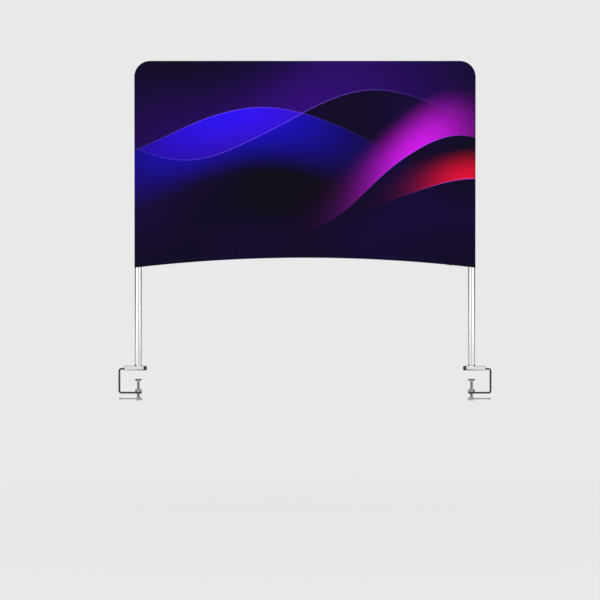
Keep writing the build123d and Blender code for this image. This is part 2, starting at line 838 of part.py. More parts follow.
# Clamping screw: ball tip, neck, threaded shank and drilled head
def clamp_screw(side):
    x = side * pole_x
    tip = screw_tip_diameter / 2
    neck = screw_neck_diameter / 2
    ball_top = tip_top - swivel_socket_clearance
    shank_top = swivel_bottom - swivel_lip
    with BuildPart() as screw:
        with BuildSketch(Plane.XZ):
            with BuildLine():
                Polyline(
                    (x, ball_top),
                    (x + tip - screw_tip_chamfer, ball_top),
                    (x + tip, ball_top - screw_tip_chamfer),
                    (x + tip, neck_top + swivel_socket_clearance),
                    (x + neck, neck_top + swivel_socket_clearance),
                    (x + neck, shank_top + thread_depth),
                    (x + screw_radius - thread_depth, shank_top),
                    (x + screw_radius, shank_top - thread_depth),
                    (x + screw_radius, -screw_head_top),
                    (x, -screw_head_top),
                    close=True,
                )
            make_face()
        revolve(axis=Axis((x, 0, 0), (0, 0, 1)))
        with BuildSketch(Plane.XY.offset(-screw_head_bottom)):
            with Locations((x, 0)):
                Circle(screw_head_diameter / 2)
        extrude(amount=screw_head_height)
        head_edges = screw.edges().filter_by(GeomType.CIRCLE)
        head_edges = head_edges.filter_by(lambda e: abs(e.radius - screw_head_diameter / 2) < 0.01)
        chamfer(head_edges, length=screw_head_chamfer)
        with BuildSketch(Plane(origin=(x - screw_head_diameter, 0, tommy_height), z_dir=(1, 0, 0))):
            Circle(tommy_diameter / 2 + running_clearance)
        extrude(amount=2 * screw_head_diameter, mode=Mode.SUBTRACT)
    return screw.part


# Swivelling pressure pad on the screw's tip
def swivel_pad(side):
    x = side * pole_x
    socket = screw_tip_diameter / 2 + swivel_socket_clearance
    lip = screw_neck_diameter / 2 + 2 * swivel_socket_clearance
    with BuildPart() as pad:
        with BuildSketch(Plane.XZ):
            with BuildLine():
                Polyline(
                    (x, swivel_bottom),
                    (x + swivel_diameter / 2 - swivel_neck_step, swivel_bottom),
                    (x + swivel_diameter / 2, swivel_top - swivel_edge),
                    (x + swivel_diameter / 2, swivel_top),
                    (x, swivel_top),
                    close=True,
                )
            make_face()
        revolve(axis=Axis((x, 0, 0), (0, 0, 1)))
        with BuildSketch(Plane.XY.offset(swivel_bottom)):
            with Locations((x, 0)):
                Circle(lip)
        extrude(amount=swivel_lip, mode=Mode.SUBTRACT)
        with BuildSketch(Plane.XY.offset(neck_top)):
            with Locations((x, 0)):
                Circle(socket)
        extrude(amount=tip_top - neck_top, mode=Mode.SUBTRACT)
    return pad.part


# Rubber face on the pressure pad
def swivel_face(side):
    with BuildPart() as face:
        with BuildSketch(Plane.XY.offset(swivel_top)):
            with Locations((side * pole_x, 0)):
                Circle(swivel_diameter / 2)
        extrude(amount=swivel_face_thickness)
        top_edge = face.faces().sort_by(Axis.Z)[-1].edges()
        fillet(top_edge, radius=swivel_face_edge)
    return face.part


# Sliding bar through the screw's head, with a knob on each end
inner_knob_face = screw_head_diameter / 2 + tommy_stop_gap
tommy_inner_end = -(inner_knob_face + tommy_knob_length)


def tommy_bar(side):
    start = side * (pole_x + tommy_inner_end + tommy_knob_length / 2)
    length = tommy_reach - tommy_inner_end - tommy_knob_length
    with BuildPart() as bar:
        with BuildSketch(Plane(origin=(start, 0, tommy_height), z_dir=(side, 0, 0))):
            Circle(tommy_diameter / 2)
        extrude(amount=length)
    return bar.part


def tommy_knobs(side):
    with BuildPart() as knobs:
        for start, seat in (
            (tommy_inner_end, tommy_knob_length / 2),
            (tommy_reach - tommy_knob_length, 0),
        ):
            plane = Plane(
                origin=(side * (pole_x + start), 0, tommy_height), z_dir=(side, 0, 0)
            )
            with BuildSketch(plane):
                Circle(tommy_knob_diameter / 2)
            extrude(amount=tommy_knob_length)
            with BuildSketch(plane.offset(seat)):
                Circle(tommy_diameter / 2 + tommy_seat_clearance)
            extrude(amount=tommy_knob_length / 2, mode=Mode.SUBTRACT)
    return knobs.part


for side_name, side in sides.items():
    save(clamp_frame(side), f"{side_name}_clamp_frame")
    save(foot_shoe(side), f"{side_name}_foot_shoe")
    save(foot_cap(side), f"{side_name}_foot_cap")
    save(spigot(side), f"{side_name}_spigot")
    save(base_collar(side), f"{side_name}_collar")
    save(jaw_pad(side), f"{side_name}_jaw_pad")
    save(clamp_nut(side), f"{side_name}_clamp_nut")
    save(clamp_screw(side), f"{side_name}_clamp_screw")
    save(swivel_pad(side), f"{side_name}_swivel_pad")
    save(swivel_face(side), f"{side_name}_swivel_face")
    save(tommy_bar(side), f"{side_name}_tommy_bar")
    save(tommy_knobs(side), f"{side_name}_tommy_knobs")

# Flat-head fixings of both feet
with BuildPart() as spigot_bolts:
    for side in sides.values():
        flat_head_screw(
            side * pole_x, bolt_diameter, bolt_length, bolt_head_diameter, bolt_head_height
        )
save(spigot_bolts.part, "spigot_bolts")

with BuildPart() as shoe_screws:
    for side in sides.values():
        for reach in (shoe_screw_first, shoe_screw_first + shoe_screw_pitch):
            flat_head_screw(
                side * (pole_x + reach),
                shoe_screw_diameter,
                shoe_screw_length,
                shoe_screw_head,
                shoe_screw_head_height,
            )
save(shoe_screws.part, "shoe_screws")
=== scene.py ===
import math

import bpy
import numpy as np
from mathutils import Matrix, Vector


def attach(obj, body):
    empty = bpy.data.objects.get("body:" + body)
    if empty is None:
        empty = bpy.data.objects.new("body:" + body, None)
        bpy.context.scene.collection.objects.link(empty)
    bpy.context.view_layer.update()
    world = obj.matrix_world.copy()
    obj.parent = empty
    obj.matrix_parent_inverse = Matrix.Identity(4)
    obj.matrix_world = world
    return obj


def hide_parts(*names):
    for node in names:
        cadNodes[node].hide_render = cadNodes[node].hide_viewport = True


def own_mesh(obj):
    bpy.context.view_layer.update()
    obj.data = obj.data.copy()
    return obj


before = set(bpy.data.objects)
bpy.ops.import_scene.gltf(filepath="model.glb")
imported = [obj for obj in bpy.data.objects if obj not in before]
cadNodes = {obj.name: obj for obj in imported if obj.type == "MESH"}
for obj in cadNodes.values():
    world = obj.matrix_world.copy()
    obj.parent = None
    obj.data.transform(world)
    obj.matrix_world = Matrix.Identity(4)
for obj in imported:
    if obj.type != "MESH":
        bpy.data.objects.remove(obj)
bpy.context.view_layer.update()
print("frame loaded,", len(cadNodes), "nodes")

# Sizes shared by several pieces, in metres
frameTubes = {
    "poleX": 0.825,          # pole axes, either side of the middle
    "topHeight": 1.5115,     # axis of the top tube
    "bendRadius": 0.0605,
}
hem = {
    "cornerHeight": 0.510,   # at the pole axes
    "rise": 0.047,
    "zipHalfSpan": 0.739,
    "gatherHeight": 0.250,
}
hem["radius"] = (frameTubes["poleX"] ** 2 + hem["rise"] ** 2) / (2 * hem["rise"])
hem["centerHeight"] = hem["cornerHeight"] + hem["rise"] - hem["radius"]
sides = {"left": -1, "right": 1}


def hemHeight(x):
    return hem["centerHeight"] + np.sqrt(hem["radius"] ** 2 - np.asarray(x, float) ** 2)


def smoothStep(value):
    value = np.clip(value, 0, 1)
    return value * value * (3 - 2 * value)


# Node helpers
def startMaterial(name):
    material = bpy.data.materials.new(name)
    material.use_nodes = True
    tree = material.node_tree
    return material, tree, tree.nodes["Principled BSDF"]


def put(tree, kind, inputs=None, **settings):
    node = tree.nodes.new(kind)
    for key, value in settings.items():
        setattr(node, key, value)
    for key, value in (inputs or {}).items():
        feed(tree, node, key, value)
    return node


def feed(tree, node, key, value):
    if isinstance(value, bpy.types.NodeSocket):
        tree.links.new(value, node.inputs[key])
    else:
        node.inputs[key].default_value = value


def calc(tree, operation, first, second=0.0, third=0.0):
    node = put(tree, "ShaderNodeMath", operation=operation)
    for index, value in enumerate((first, second, third)):
        if index < len(node.inputs):
            feed(tree, node, index, value)
    return node.outputs[0]


def objectPoint(tree, scale=(1, 1, 1)):
    place = put(tree, "ShaderNodeTexCoord").outputs["Object"]
    return put(tree, "ShaderNodeMapping", {"Vector": place, "Scale": scale}).outputs[0]


def noise(tree, vector, scale, detail=3.0, roughness=0.55, distortion=0.0):
    inputs = {
        "Vector": vector, "Scale": scale, "Detail": detail,
        "Roughness": roughness, "Distortion": distortion,
    }
    return put(tree, "ShaderNodeTexNoise", inputs).outputs["Fac"]


def spread(tree, value, low, high, toLow=0.0, toHigh=1.0, smooth=False):
    kind = "SMOOTHSTEP" if smooth else "LINEAR"
    inputs = {
        "Value": value, "From Min": low, "From Max": high, "To Min": toLow, "To Max": toHigh,
    }
    return put(tree, "ShaderNodeMapRange", inputs, interpolation_type=kind).outputs[0]


def blendColor(tree, share, first, second, mode="MIX"):
    node = put(tree, "ShaderNodeMix", data_type="RGBA", blend_type=mode)
    feed(tree, node, 0, share)
    feed(tree, node, 6, first)
    feed(tree, node, 7, second)
    return node.outputs[2]


def raise3d(tree, height, strength, distance, under=None):
    inputs = {"Height": height, "Strength": strength, "Distance": distance}
    if under is not None:
        inputs["Normal"] = under
    return put(tree, "ShaderNodeBump", inputs).outputs[0]


def rgb(red, green, blue):
    return (red, green, blue, 1.0)


# Satin drawn aluminium of the poles
tubeFinish = {
    "bright": rgb(0.87, 0.875, 0.885),
    "dull": rgb(0.70, 0.705, 0.72),
    "roughness": (0.10, 0.20),
}


def makeTubeMetal(name, streakScale):
    material, tree, shader = startMaterial(name)
    streaks = noise(tree, objectPoint(tree, streakScale), 1.0, 4.0, 0.6)
    clouds = noise(tree, objectPoint(tree), 9.0, 3.0)
    smudges = noise(tree, objectPoint(tree), 38.0, 5.0, 0.7, 0.6)
    tone = calc(tree, "MULTIPLY", spread(tree, streaks, 0.3, 0.7), spread(tree, clouds, 0.2, 0.75, 0.6, 1.0))
    feed(tree, shader, "Base Color", blendColor(tree, tone, tubeFinish["dull"], tubeFinish["bright"]))
    low, high = tubeFinish["roughness"]
    wipe = calc(tree, "ADD", spread(tree, streaks, 0.3, 0.7, low, high), spread(tree, smudges, 0.45, 0.75, 0.0, 0.08))
    feed(tree, shader, "Roughness", wipe)
    feed(tree, shader, "Metallic", 1.0)
    feed(tree, shader, "Specular Tint", rgb(0.45, 0.45, 0.46))
    feed(tree, shader, "Normal", raise3d(tree, streaks, 0.12, 0.00005))
    return material


# Polished cast metal of the feet, with a painted highlight along its convex edges
footFinish = {"bright": rgb(0.86, 0.86, 0.87), "dull": rgb(0.66, 0.665, 0.68), "roughness": (0.07, 0.17)}


def makeFootMetal():
    material, tree, shader = startMaterial("polishedFootMetal")
    point = objectPoint(tree)
    clouds = noise(tree, point, 55.0, 5.0, 0.6, 0.3)
    grain = noise(tree, point, 900.0, 3.0, 0.6)
    # Painted highlight: convex edges, found by pointiness, are painted in the bright tone
    edges = spread(tree, put(tree, "ShaderNodeNewGeometry").outputs["Pointiness"], 0.5, 0.56)
    tone = calc(tree, "MAXIMUM", spread(tree, clouds, 0.25, 0.65), edges)
    feed(tree, shader, "Base Color", blendColor(tree, tone, footFinish["dull"], footFinish["bright"]))
    low, high = footFinish["roughness"]
    feed(tree, shader, "Roughness", spread(tree, clouds, 0.3, 0.75, low, high))
    feed(tree, shader, "Metallic", 1.0)
    feed(tree, shader, "Specular Tint", rgb(0.45, 0.45, 0.46))
    feed(tree, shader, "Normal", raise3d(tree, grain, 0.10, 0.00006))
    return material


# Black powder coat of the clamp frames
coatFinish = {"coat": rgb(0.011, 0.011, 0.012), "worn": rgb(0.07, 0.07, 0.073), "roughness": (0.36, 0.46)}


def makePowderCoat():
    material, tree, shader = startMaterial("blackPowderCoat")
    point = objectPoint(tree)
    orangePeel = put(tree, "ShaderNodeTexVoronoi", {"Vector": point, "Scale": 1300.0}).outputs["Distance"]
    clouds = noise(tree, point, 40.0, 4.0)
    scuffs = noise(tree, objectPoint(tree, (60, 300, 60)), 1.0, 6.0, 0.75, 1.2)
    edges = spread(tree, put(tree, "ShaderNodeNewGeometry").outputs["Pointiness"], 0.51, 0.58)
    worn = calc(tree, "MULTIPLY", edges, spread(tree, scuffs, 0.42, 0.62))
    rubbed = calc(tree, "MAXIMUM", calc(tree, "MULTIPLY", worn, 0.8), spread(tree, scuffs, 0.70, 0.78, 0.0, 0.25))
    feed(tree, shader, "Base Color", blendColor(tree, rubbed, coatFinish["coat"], coatFinish["worn"]))
    low, high = coatFinish["roughness"]
    feed(tree, shader, "Roughness", spread(tree, clouds, 0.3, 0.7, low, high))
    feed(tree, shader, "Specular IOR Level", 0.35)
    feed(tree, shader, "Normal", raise3d(tree, orangePeel, 0.35, 0.0001))
    return material


# Black moulded caps and knobs
plasticFinish = {"low": rgb(0.014, 0.014, 0.015), "high": rgb(0.035, 0.035, 0.037), "roughness": (0.38, 0.55)}


def makePlastic():
    material, tree, shader = startMaterial("blackMouldedPlastic")
    point = objectPoint(tree)
    spark = noise(tree, point, 1600.0, 2.0)
    clouds = noise(tree, point, 70.0, 4.0)
    feed(tree, shader, "Base Color", blendColor(tree, clouds, plasticFinish["low"], plasticFinish["high"]))
    low, high = plasticFinish["roughness"]
    feed(tree, shader, "Roughness", spread(tree, clouds, 0.3, 0.7, low, high))
    feed(tree, shader, "Normal", raise3d(tree, spark, 0.4, 0.00008))
    return material


# Black rubber of the jaw pads
rubberFinish = {"low": rgb(0.012, 0.012, 0.012), "high": rgb(0.045, 0.044, 0.043), "roughness": (0.7, 0.9)}


def makeRubber():
    material, tree, shader = startMaterial("blackRubber")
    point = objectPoint(tree)
    ribs = put(
        tree, "ShaderNodeTexWave", {"Vector": point, "Scale": 160.0, "Distortion": 0.3},
        wave_type="BANDS", bands_direction="X",
    ).outputs["Fac"]
    dust = noise(tree, point, 260.0, 6.0, 0.7)
    dusting = spread(tree, dust, 0.4, 0.8)
    feed(tree, shader, "Base Color", blendColor(tree, dusting, rubberFinish["low"], rubberFinish["high"]))
    low, high = rubberFinish["roughness"]
    feed(tree, shader, "Roughness", spread(tree, dust, 0.3, 0.7, low, high))
    fine = raise3d(tree, dust, 0.3, 0.0001)
    feed(tree, shader, "Normal", raise3d(tree, ribs, 0.25, 0.0002, fine))
    return material


# Zinc-plated and bare steel
zincFinish = {
    "cool": rgb(0.40, 0.41, 0.43), "warm": rgb(0.43, 0.42, 0.395),
    "dark": rgb(0.20, 0.20, 0.205), "roughness": (0.22, 0.38),
}
pinFinish = {
    "cool": rgb(0.62, 0.62, 0.63), "warm": rgb(0.60, 0.59, 0.57),
    "dark": rgb(0.38, 0.38, 0.38), "roughness": (0.18, 0.32),
}


def makeSteel(name, finish):
    material, tree, shader = startMaterial(name)
    point = objectPoint(tree)
    passivation = noise(tree, point, 45.0, 3.0, 0.5, 0.8)
    grime = noise(tree, point, 420.0, 6.0, 0.7)
    turned = put(
        tree, "ShaderNodeTexWave", {"Vector": point, "Scale": 900.0, "Distortion": 1.5, "Detail": 2.0},
        wave_type="BANDS", bands_direction="Z",
    ).outputs["Fac"]
    plated = blendColor(tree, spread(tree, passivation, 0.35, 0.65), finish["cool"], finish["warm"])
    feed(tree, shader, "Base Color", blendColor(tree, spread(tree, grime, 0.58, 0.8), plated, finish["dark"]))
    low, high = finish["roughness"]
    feed(tree, shader, "Roughness", spread(tree, grime, 0.3, 0.75, low, high))
    feed(tree, shader, "Metallic", 1.0)
    feed(tree, shader, "Normal", raise3d(tree, turned, 0.08, 0.00004))
    return material


# Printed knit of the banner, an abstract of soft waves of light on a dark ground
printColors = {
    "ground": rgb(0.0050, 0.0032, 0.0095),
    "haze": rgb(0.020, 0.003, 0.110),
    "blue": rgb(0.010, 0.004, 1.0),
    "violet": rgb(0.060, 0.002, 0.36),
    "magenta": rgb(0.80, 0.010, 1.0),
    "red": rgb(1.0, 0.004, 0.030),
    "line": rgb(0.22, 0.10, 0.85),
}
# Each wave is a sine across the banner, lit along its lower or upper edge
printWaves = {
    "blueSweep": {
        "height": 1.10, "swing": 0.20, "wave": 2.6, "start": 2.15,
        "depth": 0.34, "middle": -0.36, "width": 0.42, "above": False,
    },
    "violetSweep": {
        "height": 1.22, "swing": 0.17, "wave": 3.3, "start": 0.35,
        "depth": 0.42, "middle": -0.10, "width": 0.62, "above": True,
    },
    "warmSweep": {
        "height": 0.92, "swing": 0.24, "wave": 3.9, "start": -1.35,
        "depth": 0.26, "middle": 0.56, "width": 0.24, "above": True,
    },
    "redSweep": {
        "height": 0.80, "swing": 0.14, "wave": 3.1, "start": -1.0,
        "depth": 0.16, "middle": 0.80, "width": 0.20, "above": True,
    },
}


# How bright a wave's lit side is, and its thin edge line
def waveGlow(tree, x, z, wave):
    angle = calc(tree, "MULTIPLY_ADD", x, wave["wave"], wave["start"])
    crest = calc(tree, "MULTIPLY_ADD", calc(tree, "SINE", angle), wave["swing"], wave["height"])
    offset = calc(tree, "SUBTRACT", z, crest) if wave["above"] else calc(tree, "SUBTRACT", crest, z)
    fade = spread(tree, offset, 0.0, wave["depth"], 1.0, 0.0, smooth=True)
    lit = calc(tree, "MULTIPLY", fade, spread(tree, offset, -0.0015, 0.0015))
    across = calc(tree, "DIVIDE", calc(tree, "SUBTRACT", x, wave["middle"]), wave["width"])
    window = calc(tree, "EXPONENT", calc(tree, "MULTIPLY", calc(tree, "MULTIPLY", across, across), -1.0))
    edge = spread(tree, calc(tree, "ABSOLUTE", offset), 0.0008, 0.0036, 1.0, 0.0, smooth=True)
    return calc(tree, "MULTIPLY", lit, window), calc(tree, "MULTIPLY", edge, window)


def makePrintedKnit(name, mirror):
    material, tree, shader = startMaterial(name)
    place = put(tree, "ShaderNodeTexCoord").outputs["Object"]
    parts = put(tree, "ShaderNodeSeparateXYZ", {"Vector": place})
    x = calc(tree, "MULTIPLY", parts.outputs["X"], mirror)
    z = parts.outputs["Z"]
    # Soft clouds bend the flow a little, so that no gradient is ruled
    drift = noise(tree, put(tree, "ShaderNodeMapping", {"Vector": place, "Scale": (1.1, 0, 1.6)}).outputs[0], 1.0, 1.0)
    zSoft = calc(tree, "MULTIPLY_ADD", drift, 0.10, calc(tree, "SUBTRACT", z, 0.05))
    color = blendColor(tree, spread(tree, drift, 0.35, 0.7), printColors["ground"], printColors["haze"])
    color = blendColor(tree, 0.55, color, printColors["ground"])
    for waveName, colorName, gain in (
        ("violetSweep", "violet", 0.55), ("blueSweep", "blue", 1.0),
        ("warmSweep", "magenta", 0.95), ("redSweep", "red", 0.9),
    ):
        glow, edge = waveGlow(tree, x, zSoft, printWaves[waveName])
        lit = blendColor(tree, calc(tree, "MULTIPLY", glow, gain), rgb(0, 0, 0), printColors[colorName])
        color = blendColor(tree, 1.0, color, lit, "ADD")
        line = blendColor(tree, calc(tree, "MULTIPLY", edge, 0.5), rgb(0, 0, 0), printColors["line"])
        color = blendColor(tree, 1.0, color, line, "ADD")
    # Knit: fine loops across, ribs down
    fine = objectPoint(tree, (1, 1, 1))
    ribs = put(
        tree, "ShaderNodeTexWave", {"Vector": fine, "Scale": 330.0, "Distortion": 0.6, "Detail": 1.0},
        wave_type="BANDS", bands_direction="X",
    ).outputs["Fac"]
    loops = put(
        tree, "ShaderNodeTexWave", {"Vector": fine, "Scale": 420.0, "Distortion": 0.8, "Detail": 1.0},
        wave_type="BANDS", bands_direction="Z",
    ).outputs["Fac"]
    knit = calc(tree, "MULTIPLY", ribs, loops)
    fuzz = noise(tree, fine, 2400.0, 2.0)
    shade = spread(tree, calc(tree, "MULTIPLY_ADD", fuzz, 0.5, knit), 0.2, 1.1, 0.88, 1.04)
    feed(tree, shader, "Base Color", blendColor(tree, 1.0, color, shade, "MULTIPLY"))
    feed(tree, shader, "Roughness", spread(tree, fuzz, 0.3, 0.7, 0.62, 0.78))
    feed(tree, shader, "Specular IOR Level", 0.04)
    feed(tree, shader, "Sheen Weight", 0.015)
    feed(tree, shader, "Sheen Roughness", 0.35)
    feed(tree, shader, "Normal", raise3d(tree, knit, 0.5, 0.00012, raise3d(tree, fuzz, 0.3, 0.00006)))
    return material


# Black thread, zip tape, zip coil and slider metal
def makeThread():
    material, tree, shader = startMaterial("blackThread")
    twist = put(
        tree, "ShaderNodeTexWave", {"Vector": objectPoint(tree), "Scale": 1500.0, "Distortion": 0.5},
        wave_type="BANDS", bands_direction="DIAGONAL",
    ).outputs["Fac"]
    feed(tree, shader, "Base Color", blendColor(tree, twist, rgb(0.010, 0.009, 0.014), rgb(0.035, 0.033, 0.042)))
    feed(tree, shader, "Roughness", spread(tree, twist, 0.0, 1.0, 0.45, 0.62))
    feed(tree, shader, "Sheen Weight", 0.15)
    feed(tree, shader, "Normal", raise3d(tree, twist, 0.4, 0.00006))
    return material


def makeZipTape():
    material, tree, shader = startMaterial("blackZipTape")
    point = objectPoint(tree)
    warp = put(
        tree, "ShaderNodeTexWave", {"Vector": point, "Scale": 700.0, "Distortion": 0.3},
        wave_type="BANDS", bands_direction="X",
    ).outputs["Fac"]
    weft = put(
        tree, "ShaderNodeTexWave", {"Vector": point, "Scale": 700.0, "Distortion": 0.3},
        wave_type="BANDS", bands_direction="Y",
    ).outputs["Fac"]
    weave = calc(tree, "MAXIMUM", warp, weft)
    feed(tree, shader, "Base Color", blendColor(tree, weave, rgb(0.007, 0.007, 0.008), rgb(0.030, 0.030, 0.033)))
    feed(tree, shader, "Roughness", spread(tree, weave, 0.0, 1.0, 0.65, 0.85))
    feed(tree, shader, "Normal", raise3d(tree, weave, 0.5, 0.0001))
    return material


def makeZipNylon():
    material, tree, shader = startMaterial("blackZipNylon")
    clouds = noise(tree, objectPoint(tree), 600.0, 3.0)
    feed(tree, shader, "Base Color", blendColor(tree, clouds, rgb(0.012, 0.012, 0.013), rgb(0.04, 0.04, 0.042)))
    feed(tree, shader, "Roughness", spread(tree, clouds, 0.3, 0.7, 0.25, 0.42))
    feed(tree, shader, "Normal", raise3d(tree, clouds, 0.2, 0.00004))
    return material


# Black enamel on the zip's slider, pull and stops, rubbed bright on its corners
enamelFinish = {"coat": rgb(0.012, 0.012, 0.014), "bare": rgb(0.45, 0.45, 0.46), "roughness": (0.16, 0.30)}


def makeZipEnamel():
    material, tree, shader = startMaterial("blackZipEnamel")
    wear = noise(tree, objectPoint(tree), 700.0, 5.0, 0.65)
    edges = spread(tree, put(tree, "ShaderNodeNewGeometry").outputs["Pointiness"], 0.53, 0.60)
    rubbed = calc(tree, "MULTIPLY", edges, spread(tree, wear, 0.45, 0.62))
    feed(tree, shader, "Base Color", blendColor(tree, rubbed, enamelFinish["coat"], enamelFinish["bare"]))
    low, high = enamelFinish["roughness"]
    feed(tree, shader, "Roughness", spread(tree, wear, 0.3, 0.7, low, high))
    feed(tree, shader, "Metallic", rubbed)
    feed(tree, shader, "Normal", raise3d(tree, wear, 0.15, 0.00005))
    return material


tubeMetalUpright = makeTubeMetal("satinTubeMetalUpright", (900, 900, 6))
tubeMetalLevel = makeTubeMetal("satinTubeMetalLevel", (6, 900, 900))
footMetal = makeFootMetal()
powderCoat = makePowderCoat()
plastic = makePlastic()
rubber = makeRubber()
zincSteel = makeSteel("zincPlatedSteel", zincFinish)
pinSteel = makeSteel("brightPinSteel", pinFinish)
printFront = makePrintedKnit("printedKnitFront", 1.0)
printBack = makePrintedKnit("printedKnitBack", -1.0)
thread = makeThread()
zipTape = makeZipTape()
zipNylon = makeZipNylon()
zipEnamel = makeZipEnamel()
print("materials made")

# Finish of every CAD piece that shows as it is, by the end of its name
finishes = {
    "lower_pole": tubeMetalUpright,
    "upper_pole": tubeMetalUpright,
    "corner_tube": tubeMetalUpright,
    "top_tube": tubeMetalLevel,
    "coupler": tubeMetalUpright,
    "button": pinSteel,
    "button_springs": pinSteel,
    "coupler_rivets": pinSteel,
    "spigot_bolts": pinSteel,
    "shoe_screws": pinSteel,
    "spigot": footMetal,
    "collar": footMetal,
    "foot_shoe": footMetal,
    "foot_cap": plastic,
    "jaw_pad": rubber,
    "swivel_face": rubber,
    "clamp_frame": powderCoat,
    "clamp_nut": zincSteel,
    "clamp_screw": zincSteel,
    "swivel_pad": zincSteel,
    "tommy_bar": zincSteel,
    "tommy_knobs": zincSteel,
    "zip_tape_front": zipTape,
    "zip_tape_back": zipTape,
    "zip_coil": zipNylon,
    "zip_stops": zipEnamel,
    "zip_slider": zipEnamel,
    "zip_pull": zipEnamel,
    "front_panel": printFront,
    "back_panel": printBack,
}
for nodeName, node in cadNodes.items():
    ending = max((end for end in finishes if nodeName.endswith(end)), key=len)
    node.data.materials.clear()
    node.data.materials.append(finishes[ending])
print("CAD pieces dressed")


# Mesh helpers
def makePiece(name, points, faces, body, material, smooth=True):
    mesh = bpy.data.meshes.new(name)
    mesh.from_pydata([tuple(p) for p in points], [], [tuple(f) for f in faces])
    mesh.validate()
    if smooth:
        mesh.shade_smooth()
    mesh.materials.append(material)
    piece = bpy.data.objects.new(name, mesh)
    bpy.context.collection.objects.link(piece)
    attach(piece, body)
    return piece


def applyModifiers(piece):
    bpy.context.view_layer.update()
    evaluated = piece.evaluated_get(bpy.context.evaluated_depsgraph_get())
    finished = bpy.data.meshes.new_from_object(evaluated)
    piece.modifiers.clear()
    piece.data = finished


# Fabric panels: a taut knit skin, wrapped a quarter round the tubes and drawn in to the zip
skin = {
    "radius": 0.0188,        # outer face from the tube's axis
    "thickness": 0.0010,
    "hemLevel": 0.0057,      # outer face from the middle plane along the zip
    "step": 0.0135,
    "wrapSteps": 8,
    "bandHeight": 0.021,     # doubled hem
    "bandStand": 0.00035,
    "stitchRows": (0.0045, 0.0175),
    "pucker": 0.00022,
    "tension": 0.0007,       # ripples that fan out of the lower corners
    "cornerGather": 0.00045,
}
poleX = frameTubes["poleX"]
bendTop = frameTubes["topHeight"] - frameTubes["bendRadius"]
cornerX = poleX - frameTubes["bendRadius"]


# How far the outer face stands from the middle plane, inside the tubes
def skinLevel(x, z):
    x, z = np.asarray(x, float), np.asarray(z, float)
    above = z - hemHeight(x)
    drawn = np.clip(1 - above / hem["gatherHeight"], 0, 1) ** 1.25
    reach = smoothStep((poleX - 0.004 - np.abs(x)) / (poleX - 0.004 - hem["zipHalfSpan"]))
    level = skin["radius"] - (skin["radius"] - skin["hemLevel"]) * drawn * reach
    band = smoothStep((skin["bandHeight"] - above) / 0.0022)
    level = level + skin["bandStand"] * band
    for row in skin["stitchRows"]:
        level = level - 0.00030 * np.exp(-(((above - row) / 0.0011) ** 2))
    pucker = np.sin(x * 2 * math.pi / 0.031 + 3 * np.sin(x * 17.0)) * np.sin(x * 11.0 + 1.3)
    level = level + skin["pucker"] * pucker * np.exp(-np.clip(above, 0, None) / 0.035)
    # Ripples from each lower corner, along the pull between pole and hem
    fromCorner = np.hypot(poleX - np.abs(x), above + 0.02)
    bearing = np.arctan2(above + 0.02, poleX - np.abs(x) + 1e-6)
    ripple = np.sin(bearing * 15.0) * np.exp(-(((fromCorner - 0.11) / 0.085) ** 2))
    return level + skin["tension"] * ripple * smoothStep((poleX - np.abs(x)) / 0.04)


# Folds a point of the flat cut onto the frame; face is -1 in front and 1 behind
def skinPoint(x, z, face):
    overX, overZ = abs(x) - cornerX, z - bendTop
    if overX > 0 and overZ > 0:
        reach = math.hypot(overX, overZ)
        outX, outZ = overX / reach, overZ / reach
    elif overX > overZ:
        reach, outX, outZ = overX, 1.0, 0.0
    else:
        reach, outX, outZ = overZ, 0.0, 1.0
    beyond = reach - frameTubes["bendRadius"]
    if beyond <= 0:
        return (x, face * float(skinLevel(x, z)), z)
    turn = beyond / skin["radius"]
    edge = smoothStep((turn - 1.38) / (math.pi / 2 - 1.38))
    radius = skin["radius"] - 0.0006 * float(edge)
    if overX > 0 and overZ > 0:
        bearing = math.atan2(outZ, outX)
        gather = math.sin(bearing * 26.0) * math.sin(bearing * 2.0) ** 2
        radius += skin["cornerGather"] * gather * math.sin(min(turn, math.pi / 2) * 2.0)
    if z < bendTop:
        above = z - float(hemHeight(min(abs(x), poleX)))
        radius += skin["bandStand"] * float(smoothStep((skin["bandHeight"] - above) / 0.0022))
    side = math.copysign(1.0, x)
    axisX = x - side * outX * beyond
    axisZ = z - outZ * beyond
    return (
        axisX + side * outX * radius * math.sin(turn),
        face * radius * math.cos(turn),
        axisZ + outZ * radius * math.sin(turn),
    )


# Heights above the hem, close together over the stitched band, as shares of the way up
def rowHeights():
    near = [
        0, 0.0007, 0.002, 0.0034, 0.0045, 0.0056, 0.0075, 0.011,
        0.0145, 0.0164, 0.0175, 0.0186, 0.0205, 0.0235, 0.029,
    ]
    height = bendTop - hem["cornerHeight"]
    count = round((height - near[-1]) / skin["step"])
    rest = np.linspace(near[-1], height, count + 1)[1:]
    return [value / height for value in near] + [value / height for value in rest]


